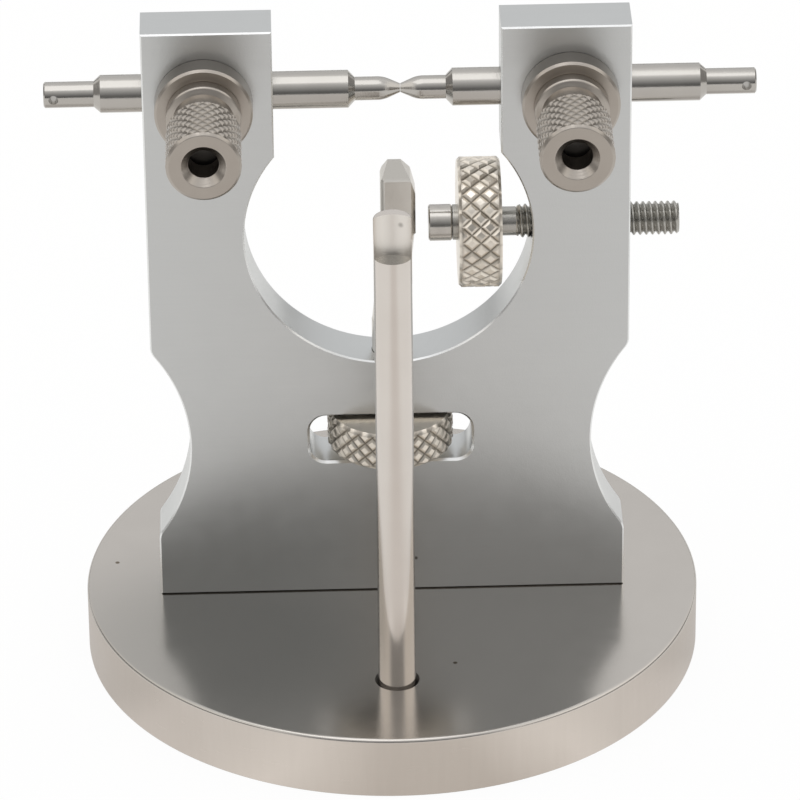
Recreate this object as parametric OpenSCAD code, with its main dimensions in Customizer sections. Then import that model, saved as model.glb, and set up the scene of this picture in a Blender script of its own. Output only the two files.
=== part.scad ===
// Balance truing caliper: an upright plate on a round base holds two clamped
// runners nose to nose, with a raised index and a side index between them.
// Origin: centre of the base's underside. X runs along the runners, Y goes
// from front to back, Z is up. All sizes are in millimetres.

/* [Base] */
// Diameter of the base disc
base_d = 66.9; // [60:0.1:80]
// Thickness of the base disc
base_h = 7; // [6:0.1:12]
// Bevel round the base's top edge
base_bevel = 0.35; // [0.1:0.05:0.8]
// Bevel round the base's bottom edge
foot_bevel = 0.15; // [0.05:0.05:0.8]

/* [Frame plate] */
// Thickness of the plate, front to back
plate_t = 5.6; // [5.4:0.1:8]
// Width across the two arms
plate_w = 51.3; // [49:0.1:56]
// Height of the plate above the base
plate_h = 68; // [66:0.1:72]
// How much narrower the lower block is, on each side
block_inset = 0.35; // [0:0.05:1]
// Clear gap between the arms
arm_gap = 23.9; // [22:0.1:25]
// Radius of the round window
window_r = 15.3; // [14.6:0.1:16]
// Height of the window's centre above the base
window_h = 43.8; // [42:0.1:44.5]
// Bevel round the window and the slot
edge_bevel = 0.2; // [0.1:0.05:0.4]
// Radius of each scalloped waist
waist_r = 18.6; // [17:0.1:20]
// How deep each waist goes into the plate's side
waist_depth = 4; // [3:0.1:5]
// Height of the waists' centres above the base
waist_h = 18.6; // [17.5:0.1:20]
// Rounding of the corners beside the waists
waist_corner_r = 1.8; // [0.5:0.1:3]
// Width of the slot for the index nut
slot_w = 17.5; // [16:0.1:19]
// Height of the slot
slot_h = 5.6; // [5.5:0.1:7]
// Rounding of the slot's corners
slot_r = 1.8; // [1:0.1:2.5]
// Height of the slot's centre above the base
slot_z = 19.1; // [18:0.1:21]

/* [Runners] */
// Depth of the runners' axis below the plate's top
runner_drop = 8.1; // [7.8:0.1:8.4]
// Diameter of a runner's main length
runner_d = 4; // [3.5:0.05:4.2]
// Length of a runner's main length
runner_main = 26; // [22:0.1:30]
// Diameter of the thin outer end
outer_d = 2.75; // [2.2:0.05:3.2]
// Length of the thin outer end
outer_len = 5.25; // [4:0.05:8]
// Diameter of the thin inner end
inner_d = 2.5; // [2:0.05:3]
// Length of the thin inner end, without its cone
inner_len = 3; // [2:0.05:5]
// Length of each chamfered step
step_len = 0.7; // [0.4:0.05:1.2]
// Length of the cone nose
cone_len = 1.75; // [1:0.05:3]
// Radius of the swell between the cone and the thin inner end
nose_round = 3; // [1:0.1:4]
// Diameter of the flat at the nose
nose_d = 0.95; // [0.8:0.05:1.4]
// Diameter of the pivot hole in the nose
pivot_d = 0.4; // [0.2:0.05:0.6]
// Depth of the pivot hole
pivot_depth = 1.2; // [0.5:0.1:3]
// Diameter of the cross hole in the outer end
cross_d = 1; // [0.6:0.05:1.4]
// Distance of the cross hole from the outer end
cross_at = 1.05; // [0.8:0.05:2]
// Where the noses meet, right of the middle
nose_x = 1.45; // [0:0.05:2]
// Gap between the two noses
nose_gap = 0.04; // [0.02:0.01:0.2]

/* [Clamps] */
// Distance of the clamps from the middle
clamp_x = 19.2; // [18.8:0.1:19.6]
// Diameter of a draw bolt's cross-bored body
bolt_d = 6.6; // [6:0.1:7]
// Length of a draw bolt's thread beyond the plate's face
bolt_reach = 10.5; // [8:0.1:11]
// Diameter of a clamp collar
collar_d = 10.3; // [9.5:0.1:11]
// Thickness of a clamp collar
collar_t = 2.5; // [2:0.1:4]
// Bevel on a collar's front edge
collar_bevel = 0.25; // [0.1:0.05:0.5]
// Gap between a collar and the plate
collar_gap = 0.06; // [0.03:0.01:0.2]
// Diameter of the nut's boss and barrel
nut_d = 7.86; // [7:0.02:9]
// Length of the nut's boss
boss_len = 1.4; // [1:0.1:2]
// Diameter of the nut's neck
neck_d = 6.5; // [6:0.1:7]
// Length of the neck, with its two flanks
neck_len = 3.3; // [2.5:0.1:4]
// Length of the knurled barrel
barrel_len = 7.2; // [6:0.1:9]
// Diameter of the open bore at the nut's end
nut_bore_d = 3.15; // [2.8:0.05:3.4]
// Diameter of that bore's countersink
nut_sink_d = 4.7; // [4:0.05:5.5]
// Bevel on the nut's end
nut_bevel = 0.3; // [0.1:0.05:0.5]

/* [Side index] */
// Outer diameter of all the adjusting threads
thread_d = 3.6; // [3.4:0.05:4]
// Diameter of the knurled wheel
wheel_d = 13.9; // [12:0.1:14]
// Thickness of the knurled wheel
wheel_t = 4.55; // [4:0.05:5.5]
// Where the wheel starts, right of the middle
wheel_x = 7.4; // [7:0.05:8]
// Bevel on the wheel's rims
wheel_bevel = 0.3; // [0.1:0.05:0.5]
// Diameter of the collar between wheel and tip
tail_d = 3.8; // [3:0.05:4]
// Length of that collar
tail_len = 0.55; // [0.4:0.05:1]
// Diameter of the relief between wheel and thread
relief_d = 3.1; // [2.8:0.05:3.3]
// Length of that relief
relief_len = 1.9; // [1:0.1:2.4]
// Length of the thread
thread_len = 17.1; // [16:0.1:20]
// Diameter of the swivel tip
tip_d = 3.9; // [3.5:0.05:4.5]
// Length of the swivel tip
tip_len = 2.5; // [2:0.05:2.7]
// Diameter of the spigot inside the tip
spigot_d = 2; // [1.6:0.05:2.4]
// Length of the spigot inside the tip
spigot_len = 1.5; // [1:0.05:1.8]

/* [Raised index] */
// Diameter of the index blade's shank
shank_d = 3.7; // [3.6:0.05:4]
// Diameter of the leaning rod, a little less than the shank
blade_w = 3.6; // [3.3:0.05:3.6]
// Width of the upright head above it, side to side
head_w = 3.7; // [3.6:0.05:4]
// Thickness of the head, front to back
head_t = 3.4; // [2.8:0.05:3.6]
// Diameter across the head's rounded corners
head_round = 4.4; // [3.9:0.05:4.8]
// Height of the blade's top above the base
blade_top = 51.4; // [48:0.1:52]
// Height above the base where the blade starts to lean
lean_from = 32.3; // [31.8:0.1:36]
// Height above the base where it stands upright again
upright_from = 43.2; // [40:0.1:46]
// Lean of the rod towards the side index, in degrees
lean = 5.6; // [0:0.1:5.8]
// Length of the bevels on the front and back of the blade's top
bevel_len = 1.8; // [1:0.05:2.4]
// Thickness of the blade's top edge, front to back
edge_t = 0.3; // [0.1:0.05:0.6]
// Length of the taper at the blade's top, on its right side
taper_right = 3.5; // [2.4:0.1:4]
// Height of the break in that taper, below the top
break_down = 1.7; // [1:0.1:2.2]
// How far the break lies inside the blade's side
break_in = 0.5; // [0.2:0.05:0.8]
// Length of the taper on its left side
taper_left = 1.95; // [1.5:0.05:4]
// Width of the blade's top edge
tip_w = 1.4; // [0.8:0.05:2]
// How far the top edge lies left of the blade's middle
tip_shift = 0.35; // [0:0.05:0.5]
// How far the blade's thread reaches below the slot
tail_reach = 5; // [4.5:0.1:6]
// Diameter of the index nut
index_nut_d = 13.6; // [12:0.1:14.5]
// Thickness of the index nut
index_nut_t = 4.3; // [4:0.05:4.6]
// Gap above the index nut in its slot
index_nut_gap = 0.3; // [0.2:0.05:0.4]
// Travel of the blade each way
blade_travel = 4; // [3:0.1:4]
// Outer diameter of the disc spring under the nut
washer_d = 9; // [7:0.1:11]
// Thickness of the disc spring's metal
washer_t = 0.4; // [0.3:0.05:0.5]
// Diameter of the guide pin
guide_d = 1.2; // [1:0.05:1.4]
// Height of the guide pin above the slot's centre
guide_h = 6; // [4.5:0.1:7]

/* [Front post] */
// Distance of the post in front of the plate's middle
post_y = 21.3; // [20.5:0.1:23]
// Diameter of the post
post_d = 4; // [3.6:0.05:4.4]
// Height of the post's top above the base
post_h = 55.7; // [50:0.1:58]
// Height of the hollow flat at the post's top
flat_h = 4.6; // [3:0.1:6]
// Depth of the flat at its lower end
flat_deep = 2.25; // [1.8:0.05:2.5]
// Depth of the flat at the post's top
flat_shallow = 2.1; // [1.4:0.05:2.2]
// Radius of the hollow of the flat
flat_r = 2.6; // [2.2:0.1:9]
// Width of the socket's countersink, all round its bore
mouth_flare = 0.33; // [0.1:0.01:0.8]
// Floor of the base left under the post
socket_floor = 0.8; // [0.6:0.1:2]

/* [Fixing screws] */
// Distance of each fixing screw from the middle
fix_x = 15; // [10:0.5:20]
// Thread diameter of the fixing screws
fix_d = 3; // [2.5:0.1:3]
// Head diameter of the fixing screws
fix_head_d = 5.6; // [5:0.1:6.5]
// Length of the fixing screws
fix_len = 14; // [10:0.5:16]

/* [Fits] */
// Radial clearance of a running fit
fit = 0.05; // [0.03:0.01:0.08]

/* [Hidden] */
$fn = 64;
eps = 0.01;
// Heights above the base's underside
block_w = plate_w - 2 * block_inset;
runner_z = base_h + plate_h - runner_drop;
window_z = base_h + window_h;
waist_z = base_h + waist_h;
slot_mid = base_h + slot_z;
slot_floor_z = slot_mid - slot_h / 2;
slot_roof_z = slot_mid + slot_h / 2;
plate_top = base_h + plate_h;
window_floor_z = window_z - window_r;
// Runner, measured from its nose
nose_lean = atan((inner_d - nose_d) / 2 / cone_len);
nose_blend = nose_round * tan(nose_lean / 2);
main_from = cone_len + inner_len + step_len;
main_to = main_from + runner_main;
runner_len = main_to + step_len + outer_len;
// Clamp, measured forward from the plate's front face
bolt_back = plate_t / 2 - fit;
collar_front = collar_gap + collar_t;
nut_from = collar_front + fit;
nut_len = boss_len + neck_len + barrel_len;
// Side index
tip_x = wheel_x - tail_len - fit - tip_len;
thread_from = wheel_x + wheel_t + relief_len;
// Raised index
index_nut_top = slot_roof_z - index_nut_gap;
index_nut_z = index_nut_top - index_nut_t;
blade_z = base_h + blade_top;
lean_z = base_h + lean_from;
upright_z = base_h + upright_from;
lean_x = (upright_z - lean_z) * tan(lean);
guide_z = slot_mid + guide_h;
tail_z = slot_floor_z - tail_reach;
key_depth = 1;
washer_bore = shank_d + 0.4;
// Post
post_top = base_h + post_h;
socket_d = post_d + 2 * fit;
mouth_d = socket_d + 2 * mouth_flare;
// Fixing screws, standing from just inside the base's underside
fix_head_z = 0.2;
fix_head_h = (fix_head_d - fix_d) / 2;
fix_slot_w = 0.8;
fix_slot_depth = 0.7;

// A solid of revolution about the X axis, from [along, radius] points
module turned_x(points) {
    rotate([90, 0, 90]) rotate_extrude() polygon([for (p = points) [p[1], p[0]]]);
}

// A solid of revolution about the forward axis (-Y), from [along, radius] points
module turned_forward(points) {
    rotate([90, 0, 0]) rotate_extrude() polygon([for (p = points) [p[1], p[0]]]);
}

// A bore along X, from x1 to x2, at a given height
module bore_x(x1, x2, z, d) {
    translate([x1, 0, z]) rotate([0, 90, 0]) cylinder(h = x2 - x1, d = d);
}

// A square-cornered slot with rounded corners, about its centre
module rounded_slot(w, h, r) {
    square([w - 2 * r, h], center = true);
    square([w, h - 2 * r], center = true);
    for (x = [-1, 1], y = [-1, 1])
        translate([x * (w / 2 - r), y * (h / 2 - r)]) circle(r = r);
}

// One scalloped waist on the right side. Its corners are rounded where the
// scallop runs out into the block below and the arm above.
module waist() {
    side = plate_w / 2 - waist_depth + waist_r;
    translate([side, waist_z]) circle(r = waist_r);
    waist_end(side, block_w / 2, -1);
    waist_end(side, plate_w / 2, 1);
}

// The rounding at one end of a waist, tangent to the side and to the scallop
module waist_end(side, half_w, up) {
    centre_x = half_w - waist_corner_r;
    rise = sqrt(pow(waist_r + waist_corner_r, 2) - pow(side - centre_x, 2));
    share = waist_corner_r / (waist_r + waist_corner_r);
    touch_x = centre_x + share * (side - centre_x);
    touch_z = rise * (1 - share);
    translate([0, waist_z]) difference() {
        polygon([[half_w, up * rise], [half_w + 1, up * rise], [half_w + 1, 0], [touch_x, up * touch_z]]);
        translate([centre_x, up * rise]) circle(r = waist_corner_r);
    }
}

module plate_outline() {
    difference() {
        union() {
            translate([-block_w / 2, base_h]) square([block_w, waist_h]);
            translate([-plate_w / 2, waist_z - eps]) square([plate_w, plate_top - waist_z + eps]);
        }
        waist();
        mirror([1, 0]) waist();
        translate([0, window_z]) circle(r = window_r);
        translate([-arm_gap / 2, window_z]) square([arm_gap, plate_h]);
        translate([0, slot_mid]) rounded_slot(slot_w, slot_h, slot_r);
    }
}

// A bevel round the window, on the face that looks along dir (-1 front, 1 back)
module window_bevel(dir) {
    translate([0, dir * (plate_t / 2 + eps), window_z]) rotate([dir * 90, 0, 0])
        cylinder(h = edge_bevel + eps, r1 = window_r + edge_bevel + eps, r2 = window_r);
}

module frame_plate() {
    color("lightgray") difference() {
        rotate([90, 0, 0]) linear_extrude(height = plate_t, center = true) plate_outline();
        window_bevel(-1);
        window_bevel(1);
        // Bores for the two runners
        bore_x(-plate_w, plate_w, runner_z, runner_d + 2 * fit);
        // Holes for the draw bolts, through both faces
        for (side = [-1, 1])
            translate([side * clamp_x, 0, runner_z]) rotate([90, 0, 0])
                cylinder(h = 2 * plate_t, d = bolt_d, center = true);
        // Tapped hole for the side index
        bore_x(window_r - 3, plate_w, window_z, thread_d + 2 * fit);
        // Bore for the blade, from the window down through the slot
        translate([0, 0, slot_mid]) cylinder(h = window_z - slot_mid, d = shank_d + 2 * fit);
        translate([0, 0, tail_z - blade_travel - 1])
            cylinder(h = slot_h + tail_reach + blade_travel, d = shank_d);
        // Hole for the guide pin, through the back wall only
        translate([0, plate_t / 2 + eps, guide_z]) rotate([90, 0, 0]) cylinder(h = plate_t / 2, d = guide_d);
        // Tapped holes for the fixing screws
        for (side = [-1, 1])
            translate([side * fix_x, 0, base_h - eps]) cylinder(h = fix_len - base_h + 1.5, d = fix_d);
    }
}

module base_disc() {
    color("silver") difference() {
        rotate_extrude($fn = 128) polygon([[0, 0], [base_d / 2 - foot_bevel, 0], [base_d / 2, foot_bevel],
                                           [base_d / 2, base_h - base_bevel],
                                           [base_d / 2 - base_bevel, base_h], [0, base_h]]);
        // Socket of the post, with its countersunk mouth
        translate([0, -post_y, socket_floor]) cylinder(h = base_h, d = socket_d);
        translate([0, -post_y, base_h - mouth_flare])
            cylinder(h = mouth_flare + eps, d1 = socket_d, d2 = mouth_d + 2 * eps);
        // Countersunk holes for the fixing screws
        for (side = [-1, 1]) translate([side * fix_x, 0, 0]) {
            translate([0, 0, -eps]) cylinder(h = base_h + 2 * eps, d = fix_d + 2 * fit);
            translate([0, 0, -eps]) cylinder(h = fix_head_z + 2 * eps, d = fix_head_d + 4 * fit);
            translate([0, 0, fix_head_z])
                cylinder(h = fix_head_h, d1 = fix_head_d + 4 * fit, d2 = fix_d + 4 * fit);
        }
    }
}

module plate_screws() {
    color("dimgray") for (side = [-1, 1]) translate([side * fix_x, 0, fix_head_z]) difference() {
        union() {
            cylinder(h = fix_head_h, d1 = fix_head_d, d2 = fix_d - 2 * fit);
            cylinder(h = fix_len, d = fix_d - 2 * fit);
        }
        translate([-fix_head_d, -fix_slot_w / 2, -eps]) cube([2 * fix_head_d, fix_slot_w, fix_slot_depth]);
    }
}

// Pressed in from the back, its nose stands in the blade's keyway
module guide_pin() {
    color("dimgray") translate([0, plate_t / 2, guide_z]) rotate([90, 0, 0])
        cylinder(h = (plate_t - shank_d) / 2 + key_depth - 0.2, d = guide_d);
}

// Disc spring between the slot's floor and the index nut
module spring_washer() {
    rise = index_nut_z - slot_floor_z - washer_t - 2 * fit;
    color("goldenrod") translate([0, 0, slot_floor_z + fit]) rotate_extrude()
        polygon([[washer_bore / 2, rise], [washer_d / 2, 0], [washer_d / 2, washer_t],
                 [washer_bore / 2, rise + washer_t]]);
}

// One draw bolt: its body is cross-bored for the runner
module clamp_bolt(side) {
    color("gray") translate([side * clamp_x, 0, runner_z]) difference() {
        union() {
            translate([0, bolt_back, 0]) rotate([90, 0, 0])
                cylinder(h = 2 * bolt_back, d = bolt_d - 2 * fit);
            translate([0, -plate_t / 2 + 1, 0]) rotate([90, 0, 0]) cylinder(h = bolt_reach + 1, d = thread_d);
        }
        rotate([0, 90, 0]) cylinder(h = 2 * bolt_d, d = runner_d + 2 * fit, center = true);
    }
}

// One runner, with its nose at the origin and its body along +X. A swell joins
// the cone nose to the thin inner end.
module runner() {
    swell_steps = 6;
    edge = 0.15;
    difference() {
        turned_x(concat([[0, pivot_d / 2], [0, nose_d / 2]],
            [for (i = [0 : swell_steps]) let (a = nose_lean * (1 - i / swell_steps))
                [cone_len + nose_blend - nose_round * sin(a), inner_d / 2 - nose_round * (1 - cos(a))]],
            [[cone_len + inner_len, inner_d / 2], [main_from, runner_d / 2], [main_to, runner_d / 2],
             [main_to + step_len, outer_d / 2], [runner_len - edge, outer_d / 2],
             [runner_len, outer_d / 2 - edge], [runner_len, 0],
             [pivot_depth, 0], [pivot_depth, pivot_d / 2]]));
        translate([runner_len - cross_at, 0, 0]) rotate([90, 0, 0])
            cylinder(h = 2 * runner_d, d = cross_d, center = true);
    }
}

module runner_left() {
    color("whitesmoke") translate([nose_x - nose_gap / 2, 0, runner_z]) mirror([1, 0, 0]) runner();
}

module runner_right() {
    color("whitesmoke") translate([nose_x + nose_gap / 2, 0, runner_z]) runner();
}

module clamp_collar(side) {
    bore_r = thread_d / 2 + fit;
    color("darkkhaki") translate([side * clamp_x, -plate_t / 2, runner_z])
        turned_forward([[collar_gap, bore_r], [collar_gap, collar_d / 2],
                        [collar_front - collar_bevel, collar_d / 2],
                        [collar_front, collar_d / 2 - collar_bevel], [collar_front, bore_r]]);
}

// One knurled clamp nut: boss, neck and barrel, open at its end
module clamp_nut(side) {
    bore_r = thread_d / 2 + fit;
    neck_at = nut_from + boss_len;
    barrel_at = neck_at + neck_len;
    end = nut_from + nut_len;
    open_at = bolt_reach + 0.5;
    flank = (nut_d - neck_d) / 2;
    sink = (nut_sink_d - nut_bore_d) / 2;
    color("tan") translate([side * clamp_x, -plate_t / 2, runner_z])
        turned_forward([[nut_from, bore_r], [nut_from, nut_d / 2 - nut_bevel / 2],
                        [nut_from + nut_bevel / 2, nut_d / 2], [neck_at - nut_bevel, nut_d / 2],
                        [neck_at, nut_d / 2 - nut_bevel], [neck_at + flank / 2, neck_d / 2],
                        [barrel_at - flank, neck_d / 2], [barrel_at, nut_d / 2], [end - nut_bevel, nut_d / 2],
                        [end, nut_d / 2 - nut_bevel], [end, nut_sink_d / 2], [end - sink, nut_bore_d / 2],
                        [open_at, nut_bore_d / 2], [open_at, bore_r]]);
}

// The nub at the side index's end, free to swivel on the screw's spigot
module lateral_tip() {
    edge = 0.15;
    color("darkgray") translate([tip_x, 0, window_z])
        turned_x([[0, 0], [0, tip_d / 2 - edge], [edge, tip_d / 2], [tip_len - edge, tip_d / 2],
                  [tip_len, tip_d / 2 - edge], [tip_len, spigot_d / 2 + fit],
                  [tip_len - spigot_len - fit, spigot_d / 2 + fit], [tip_len - spigot_len - fit, 0]]);
}

module lateral_screw() {
    tail_x = wheel_x - tail_len;
    wheel_end = wheel_x + wheel_t;
    end = thread_from + thread_len;
    lead = (thread_d - relief_d) / 2;
    color("tan") translate([0, 0, window_z])
        turned_x([[tail_x - spigot_len, 0], [tail_x - spigot_len, spigot_d / 2], [tail_x, spigot_d / 2],
                  [tail_x, tail_d / 2], [wheel_x, tail_d / 2], [wheel_x, wheel_d / 2 - wheel_bevel],
                  [wheel_x + wheel_bevel, wheel_d / 2], [wheel_end - wheel_bevel, wheel_d / 2],
                  [wheel_end, wheel_d / 2 - wheel_bevel], [wheel_end, relief_d / 2],
                  [thread_from - lead, relief_d / 2], [thread_from, thread_d / 2],
                  [end - lead, thread_d / 2], [end, relief_d / 2], [end, 0]]);
}

module index_nut() {
    color("tan") translate([0, 0, index_nut_z]) rotate_extrude()
        polygon([[thread_d / 2 + fit, 0], [index_nut_d / 2 - wheel_bevel, 0], [index_nut_d / 2, wheel_bevel],
                 [index_nut_d / 2, index_nut_t - wheel_bevel], [index_nut_d / 2 - wheel_bevel, index_nut_t],
                 [thread_d / 2 + fit, index_nut_t]]);
}

// The blade: a threaded tail, a keyed shank, a leaning rod, and an upright head,
// square with rounded corners and drawn in to a narrow edge at its top
module index_blade() {
    keyway = 2 * blade_travel + guide_d + 0.6;
    root = 0.3;
    color("darkgray") {
        difference() {
            union() {
                translate([0, 0, tail_z]) cylinder(h = slot_roof_z - tail_z + blade_travel, d = thread_d);
                translate([0, 0, slot_roof_z + blade_travel])
                    cylinder(h = lean_z - slot_roof_z - blade_travel, d = shank_d);
            }
            translate([-guide_d / 2 - fit, shank_d / 2 - key_depth, guide_z - keyway / 2])
                cube([guide_d + 2 * fit, shank_d, keyway]);
        }
        translate([0, 0, lean_z]) rotate([0, lean, 0]) translate([0, 0, -root])
            cylinder(h = (upright_z - lean_z) / cos(lean) + 2 * root, d = blade_w);
        translate([lean_x, 0, 0]) intersection() {
            translate([0, 0, upright_z]) cylinder(h = blade_z - upright_z, d = head_round);
            head_form();
        }
    }
}

// The space that the head is cut to, about its own axis: flat sides with a taper
// on each, the right one broken, and flat faces with a bevel in front and behind
module head_form() {
    half_w = head_w / 2;
    half_t = head_t / 2;
    low = upright_z - 1;
    right_at = blade_z - taper_right;
    left_at = blade_z - taper_left;
    bevel_at = blade_z - bevel_len;
    intersection() {
        rotate([90, 0, 0]) linear_extrude(height = 2 * head_round, center = true)
            polygon([[-half_w, low], [half_w, low], [half_w, right_at],
                     [half_w - break_in, blade_z - break_down], [tip_w / 2 - tip_shift, blade_z],
                     [-tip_w / 2 - tip_shift, blade_z], [-half_w, left_at]]);
        rotate([90, 0, 90]) linear_extrude(height = 2 * head_round, center = true)
            polygon([[-half_t, low], [half_t, low], [half_t, bevel_at], [edge_t / 2, blade_z],
                     [-edge_t / 2, blade_z], [-half_t, bevel_at]]);
    }
}

// The post: a straight rod, its foot in the socket, with a hollow flat on the
// front of its top
module front_post() {
    foot = socket_floor + fit;
    foot_edge = 0.2;
    top_edge = 0.15;
    color("whitesmoke") translate([0, -post_y, 0]) difference() {
        rotate_extrude()
            polygon([[0, foot], [post_d / 2 - foot_edge, foot], [post_d / 2, foot + foot_edge],
                     [post_d / 2, post_top - top_edge], [post_d / 2 - top_edge, post_top], [0, post_top]]);
        post_flat();
    }
}

// The cutter of the hollow flat: a slanting bar that leaves a level shoulder
module post_flat() {
    slant = atan((flat_deep - flat_shallow) / flat_h);
    intersection() {
        translate([0, -post_d / 2 + flat_deep, post_top - flat_h]) rotate([slant, 0, 0])
            translate([0, -flat_r, -flat_h]) cylinder(h = 3 * flat_h, r = flat_r);
        translate([-post_d, -2 * post_d, post_top - flat_h]) cube([2 * post_d, 4 * post_d, 2 * flat_h]);
    }
}

base_disc();
plate_screws();
frame_plate();
guide_pin();
spring_washer();
clamp_bolt(-1);  // clamp_bolt_left
clamp_bolt(1);  // clamp_bolt_right
runner_left();
runner_right();
clamp_collar(-1);  // clamp_collar_left
clamp_collar(1);  // clamp_collar_right
clamp_nut(-1);  // clamp_nut_left
clamp_nut(1);  // clamp_nut_right
lateral_tip();
lateral_screw();
index_nut();
index_blade();
front_post();
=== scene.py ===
import bpy
import bmesh
from math import pi, sin, cos, tan, atan, sqrt, radians, degrees, hypot, floor
from mathutils import Matrix, Vector


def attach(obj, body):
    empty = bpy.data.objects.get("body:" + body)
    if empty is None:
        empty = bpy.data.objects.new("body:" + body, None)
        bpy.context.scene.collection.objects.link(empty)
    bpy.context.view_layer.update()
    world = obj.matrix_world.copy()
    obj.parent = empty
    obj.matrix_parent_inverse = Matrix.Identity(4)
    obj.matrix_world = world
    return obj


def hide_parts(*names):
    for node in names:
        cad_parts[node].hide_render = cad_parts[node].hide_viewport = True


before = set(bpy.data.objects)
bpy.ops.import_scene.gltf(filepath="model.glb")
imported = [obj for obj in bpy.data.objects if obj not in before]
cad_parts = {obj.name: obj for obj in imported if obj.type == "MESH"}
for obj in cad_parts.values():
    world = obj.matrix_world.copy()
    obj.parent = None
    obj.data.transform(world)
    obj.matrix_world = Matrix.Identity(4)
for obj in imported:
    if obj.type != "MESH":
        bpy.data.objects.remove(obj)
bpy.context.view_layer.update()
scene = bpy.context.scene
scene.view_settings.view_transform = "Standard"
mm = 0.001    # metres. Every size below is in millimetres.
print("frame loaded:", len(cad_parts), "nodes")


class Wire:
    # One socket of a node. A sum on it becomes a Math node.
    def __init__(self, graph, socket):
        self.graph = graph
        self.socket = socket

    def math(self, operation, *others):
        values = dict(enumerate((self,) + others))
        return self.graph.node("ShaderNodeMath", {"operation": operation}, values)

    def flipped(self, operation, other):
        return self.graph.node("ShaderNodeMath", {"operation": operation}, {0: other, 1: self})

    def __add__(self, other):
        return self.math("ADD", other)

    def __radd__(self, other):
        return self.math("ADD", other)

    def __sub__(self, other):
        return self.math("SUBTRACT", other)

    def __rsub__(self, other):
        return self.flipped("SUBTRACT", other)

    def __mul__(self, other):
        return self.math("MULTIPLY", other)

    def __rmul__(self, other):
        return self.math("MULTIPLY", other)

    def __truediv__(self, other):
        return self.math("DIVIDE", other)

    def __rtruediv__(self, other):
        return self.flipped("DIVIDE", other)

    def smooth(self, low, high):
        # 0 below low, 1 above high, with a soft step between. With low above high it falls instead.
        return self.graph.node("ShaderNodeMapRange", {"interpolation_type": "SMOOTHSTEP"},
                               {"Value": self, "From Min": low, "From Max": high})

    def spread(self, low, high):
        return self * (high - low) + low


class Graph:
    # The nodes of one material or of the world
    def __init__(self, owner):
        owner.use_nodes = True
        self.tree = owner.node_tree
        self.tree.nodes.clear()

    def put(self, socket, value):
        if isinstance(value, Wire):
            self.tree.links.new(value.socket, socket)
        elif isinstance(value, (tuple, list)) and len(value) == 3 and len(socket.default_value) == 4:
            socket.default_value = (*value, 1)
        else:
            socket.default_value = value

    def node(self, kind, settings=None, sockets=None, out=0):
        made = self.tree.nodes.new(kind)
        for key, value in (settings or {}).items():
            if key == "stops":
                self.setStops(made.color_ramp, value)
            else:
                setattr(made, key, value)
        for key, value in (sockets or {}).items():
            self.put(made.inputs[key], value)
        return Wire(self, made.outputs[out]) if len(made.outputs) else None

    def setStops(self, ramp, stops):
        # A stop's colour may be one number, for a grey
        while len(ramp.elements) < len(stops):
            ramp.elements.new(1.0)
        for element, (position, colour) in zip(ramp.elements, stops):
            element.position = position
            element.color = (*colour, 1) if isinstance(colour, tuple) else (colour, colour, colour, 1)

    def blend(self, factor, first, second):
        return self.node("ShaderNodeMix", {"data_type": "RGBA"}, {0: factor, 6: first, 7: second}, out=2)

    def place(self):
        # The point on the surface, in millimetres
        where = self.node("ShaderNodeTexCoord", out=3)
        return self.node("ShaderNodeVectorMath", {"operation": "SCALE"}, {0: where, "Scale": 1 / mm})

    def stretch(self, where, x, y, z):
        return self.node("ShaderNodeVectorMath", {"operation": "MULTIPLY"}, {0: where, 1: (x, y, z)})

    def parts(self, where):
        split = self.node("ShaderNodeSeparateXYZ", sockets={0: where}).socket.node
        return [Wire(self, socket) for socket in split.outputs]

    def near(self, where, place, inner, outer):
        # 1 within inner of a place, 0 beyond outer, in millimetres
        away = self.node("ShaderNodeVectorMath", {"operation": "DISTANCE"}, {0: where, 1: place}, out=1)
        return away.smooth(outer, inner)

    def groove(self):
        # The painted shade on a knurl, deepest in the bottom of its grooves
        return self.node("ShaderNodeAttribute", {"attribute_name": "groove"}, out=2)

    def noise(self, where, scale, detail, roughness=0.5):
        return self.node("ShaderNodeTexNoise", sockets={"Vector": where, "Scale": scale, "Detail": detail,
                                                       "Roughness": roughness})


def metal(name, look, detail):
    # detail gives the colour, the roughness and the height of the surface
    material = bpy.data.materials.new(name)
    graph = Graph(material)
    colour, rough, height = detail(graph, graph.place(), look)
    bump = graph.node("ShaderNodeBump", sockets={"Strength": look["bump"], "Distance": 0.1 * mm,
                                                 "Height": height})
    shader = graph.node("ShaderNodeBsdfPrincipled", sockets={
        "Base Color": colour, "Metallic": 1.0, "Roughness": rough, "Normal": bump})
    graph.node("ShaderNodeOutputMaterial", sockets={"Surface": shader})
    return material


# Each finish has two shades, its roughness and its bump, and what else its own function uses
nickelTop = {"colour": (0.575, 0.547, 0.514), "shade": (0.51, 0.482, 0.45), "dull": (0.4, 0.385, 0.36),
             "dullPlace": (-19, -13, 7), "dullReach": (7, 26), "mark": (0.16, 0.13, 0.1),
             "marks": ((-30.2, 4.1, 7), (6.3, -18.3, 7)), "markSize": (0.15, 0.32), "rough": (0.16, 0.24),
             "bump": 0.04}

def nickelTopDetail(graph, where, look):
    # The base's upper face, with a patch of painted shade at the left front and two small marks
    cloud = graph.noise(where, 0.09, 3)
    haze = graph.noise(where, 0.5, 4)
    fleck = graph.node("ShaderNodeTexVoronoi", {"feature": "DISTANCE_TO_EDGE"},
                       {"Vector": where, "Scale": 0.3})
    dull = graph.near(where, look["dullPlace"], *look["dullReach"])
    marks = sum(graph.near(where, mark, *look["markSize"]) for mark in look["marks"])
    colour = graph.blend(cloud * 0.6 + haze * 0.4, look["shade"], look["colour"])
    # Painted shade: the left front of the face is made darker
    colour = graph.blend(dull, colour, look["dull"])
    colour = graph.blend(marks, colour, look["mark"])
    return colour, haze.spread(*look["rough"]), haze * 0.6 + fleck * 0.1 - marks * 2


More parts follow.
